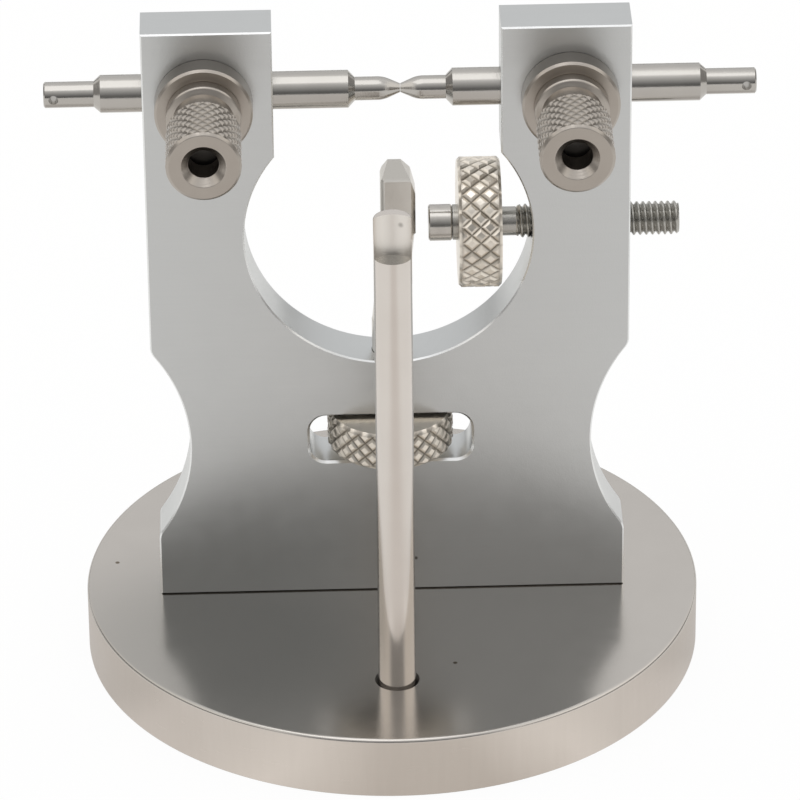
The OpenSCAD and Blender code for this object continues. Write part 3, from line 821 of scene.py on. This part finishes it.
def seenBy(graph, *kinds):
    # 1 for rays of the given kinds
    path = graph.node("ShaderNodeLightPath").socket.node
    return sum(Wire(graph, path.outputs[kind]) for kind in kinds).math("MINIMUM", 1.0)


# Painted shade and light on the floor, as the metals see it
def floorForMetal(graph):
    x, y, z = graph.parts(graph.place())
    frontX, frontY = paleFloor["front"]
    aside = (x - frontX).math("ABSOLUTE") + (y - frontY).math("MAXIMUM", 0.0)
    ahead, reach = aside.smooth(*paleFloor["frontReach"]), paleFloor["frontReach"][1]
    far = graph.blend(ahead, paleFloor["frontPaintedShade"], paleFloor["farColour"])
    stops = [(distance / reach, colour) for distance, colour in paleFloor["nearPaintedShadeAndLight"]]
    near = graph.node("ShaderNodeValToRGB", {"stops": stops}, {0: aside / reach})
    return graph.blend((x * x + y * y).math("SQRT").smooth(*paleFloor["nearReach"]), far, near)


def buildFloor():
    material = bpy.data.materials.new("paleFloor")
    graph = Graph(material)
    colour = paleFloor["colour"]
    shade = tuple(part * paleFloor["darker"] for part in colour)
    matt = graph.node("ShaderNodeBsdfDiffuse", sockets={
        "Color": graph.blend(graph.noise(graph.place(), 0.01, 2), shade, colour)})
    seen = graph.blend(seenBy(graph, "Is Glossy Ray"), (1, 1, 1), floorForMetal(graph))
    plain = graph.node("ShaderNodeEmission", sockets={"Color": seen, "Strength": 1.0})
    factor = seenBy(graph, "Is Camera Ray", "Is Glossy Ray", "Is Transmission Ray") * paleFloor["white"]
    shader = graph.node("ShaderNodeMixShader", sockets={0: factor, 1: matt, 2: plain})
    graph.node("ShaderNodeOutputMaterial", sockets={"Surface": shader})
    mesh = bpy.data.meshes.new("floor")
    reach, level = paleFloor["reach"] * mm, -paleFloor["sunk"] * mm
    corners = [(x * reach, y * reach, level) for x, y in ((-1, -1), (1, -1), (1, 1), (-1, 1))]
    mesh.from_pydata(corners, [], [(0, 1, 2, 3)])
    mesh.materials.append(material)
    ground = addObject("floor", mesh)


# byAngle is the light by the angle above the level line in front: 90 is overhead and 180 is level behind.
# The ranges of sides, horizon and flank are by how far a direction points aside, up or back, from 0 to 1.
room = {"byAngle": [(-180, 0.6), (-90, 0.7), (-12, 0.7), (0, 0.17), (12, 0.2), (22, 0.34), (36, 0.54),
                    (54, 0.82), (66, 1.15), (78, 1.0), (100, 1.0), (114, 1.1), (130, 0.94), (150, 0.86),
                    (180, 0.76)],
        "sides": (1.3, 1.27, 1.22), "sidesAside": (0.45, 0.75),
        "horizon": (0.3, 0.3, 0.3), "horizonUp": (0.16, 0.06), "horizonBack": (0.2, 0.6),
        "flank": (0.36, 0.35, 0.34), "flankAside": (0.6, 0.76), "flankUp": (0.46, 0.36)}

def buildWorld():
    # Bright overhead and at the sides, darker where the camera stands and low down at the sides and back
    world = bpy.data.worlds.new("room")
    scene.world = world
    graph = Graph(world)
    x, y, z = graph.parts(graph.node("ShaderNodeTexCoord", out=0))
    stops = [(angle / 360 + 0.5, value) for angle, value in room["byAngle"]]
    turn = z.math("ARCTAN2", -1 * y) / (2 * pi) + 0.5
    lit = graph.node("ShaderNodeValToRGB", {"stops": stops}, {0: turn})
    aside, up = x.math("ABSOLUTE"), z.math("ABSOLUTE")
    horizon = up.smooth(*room["horizonUp"]) * (y + aside).smooth(*room["horizonBack"])
    flank = aside.smooth(*room["flankAside"]) * up.smooth(*room["flankUp"])
    lit = graph.blend(aside.smooth(*room["sidesAside"]), lit, room["sides"])
    lit = graph.blend(horizon, lit, room["horizon"])
    lit = graph.blend(flank, lit, room["flank"])
    colour = graph.blend(seenBy(graph, "Is Camera Ray"), lit, (1, 1, 1))
    shader = graph.node("ShaderNodeBackground", sockets={"Color": colour, "Strength": 1.0})
    graph.node("ShaderNodeOutputWorld", sockets={"Surface": shader})


softbox = {"size": 500, "energy": 0.6, "place": (-100, -50, 700), "aim": (0, 0, 30)}

def buildLamp():
    data = bpy.data.lights.new("softbox", "AREA")
    data.shape = "RECTANGLE"
    data.size = data.size_y = softbox["size"] * mm
    data.energy = softbox["energy"]
    lamp = addObject("softbox", data)
    place, aim = Vector(softbox["place"]) * mm, Vector(softbox["aim"]) * mm
    lamp.location = place
    lamp.rotation_euler = (aim - place).to_track_quat("-Z", "Y").to_euler()


camera = {"place": (-12.157, -566.14, 350.421), "yaw": 1.341, "pitch": -29.565, "roll": -0.6, "lens": 270.93,
          "sensor": 36, "clip": (50, 10000)}

def buildCamera():
    yaw, pitch, roll = (radians(camera[key]) for key in ("yaw", "pitch", "roll"))
    ahead = Vector((sin(yaw) * cos(pitch), cos(yaw) * cos(pitch), sin(pitch)))
    right = Vector((cos(yaw), -sin(yaw), 0))
    up = right.cross(ahead)
    level = cos(roll) * right + sin(roll) * up
    upright = -sin(roll) * right + cos(roll) * up
    data = bpy.data.cameras.new("camera")
    data.lens = camera["lens"]
    data.sensor_width = camera["sensor"]
    data.clip_start, data.clip_end = [reach * mm for reach in camera["clip"]]
    turn = Matrix((level, upright, -ahead)).transposed().to_4x4()
    scene.camera = addObject("camera", data)
    scene.camera.matrix_world = Matrix.Translation(Vector(camera["place"]) * mm) @ turn


buildFloor()
buildWorld()
buildLamp()
buildCamera()
print("stage set")
